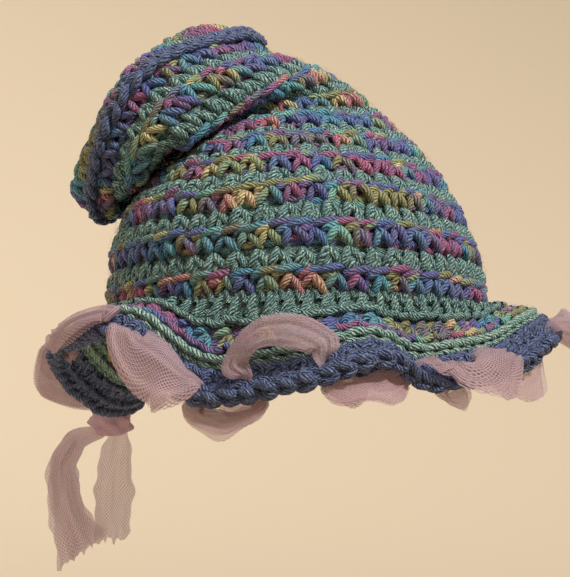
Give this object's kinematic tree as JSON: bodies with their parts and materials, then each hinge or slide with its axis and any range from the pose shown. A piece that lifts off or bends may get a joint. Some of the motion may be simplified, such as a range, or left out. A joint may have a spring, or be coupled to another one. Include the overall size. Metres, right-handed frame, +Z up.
{
  "type": "crochet hat",
  "caption": "Tall soft crochet hat whose crown flops to one side and ends in a round ridged top, with a ruffled brim and a tulle ribbon woven through the brim's border.",
  "frame": {"origin": "middle of the head opening at the band, where the crown meets the brim", "axes": "+Z up the head, +Y to the face side, and the crown flops over to -X"},
  "size_m": [0.251, 0.2581, 0.2527],
  "materials": {
    "crochet": "worsted yarn in aqua and space-dyed rounds",
    "ridge_yarn": "slate blue worsted yarn, slip stitches",
    "border_yarn": "dusty blue worsted yarn",
    "tulle": "dusty pink net, see-through"
  },
  "bodies": {
    "root": {"crown_side": "crochet", "crown_shoulder": "crochet", "crown_flop": "crochet", "crown_top": "crochet", "top_ridge": "ridge_yarn", "brim_ruffle": "crochet", "brim_border": "border_yarn", "tulle_ribbon": "tulle", "ribbon_knot": "tulle", "ribbon_tail_long": "tulle", "ribbon_tail_short": "tulle"}
  },
  "joints": []
}
